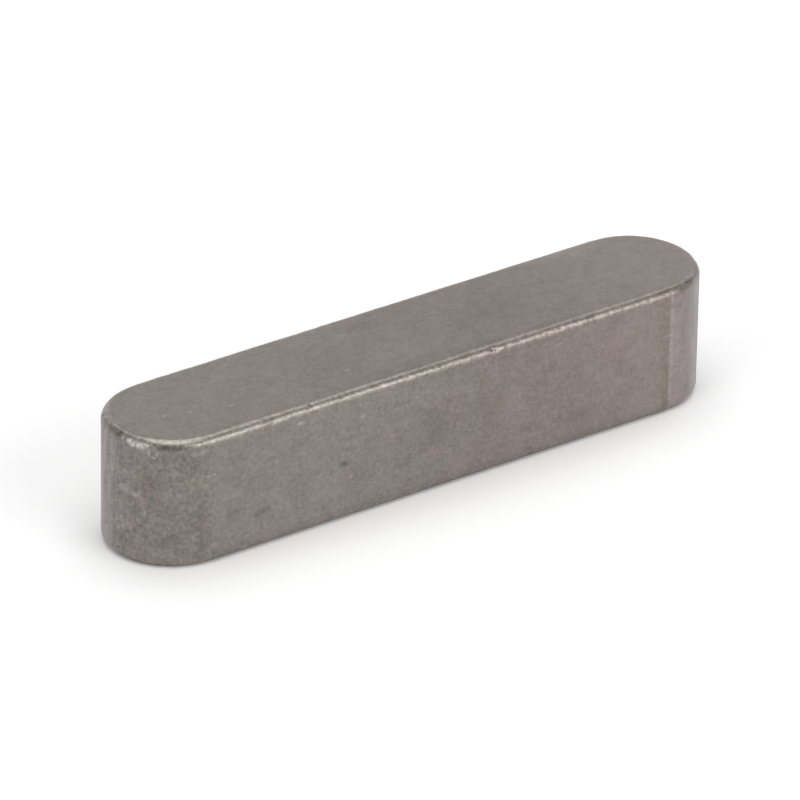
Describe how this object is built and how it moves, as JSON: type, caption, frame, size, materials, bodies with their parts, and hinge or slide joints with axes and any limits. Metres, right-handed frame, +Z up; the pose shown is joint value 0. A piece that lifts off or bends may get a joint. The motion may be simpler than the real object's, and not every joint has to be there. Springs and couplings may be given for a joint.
{
  "type": "parallel key",
  "caption": "Square-section parallel key with full-round ends and rounded edges, for locking a hub to a shaft through matching keyways.",
  "frame": {"origin": "middle of the bottom face, on the surface that the key lies on", "axes": "+X along the key from one round end to the other, +Y across the width from flank to flank, +Z up from the bottom face to the top face"},
  "size_m": [0.025, 0.005, 0.005],
  "materials": {
    "key_steel": "bright drawn key steel, tumbled satin grey, with worn bright edges and milled round ends"
  },
  "bodies": {
    "root": {"key_body": "key_steel"}
  },
  "joints": []
}
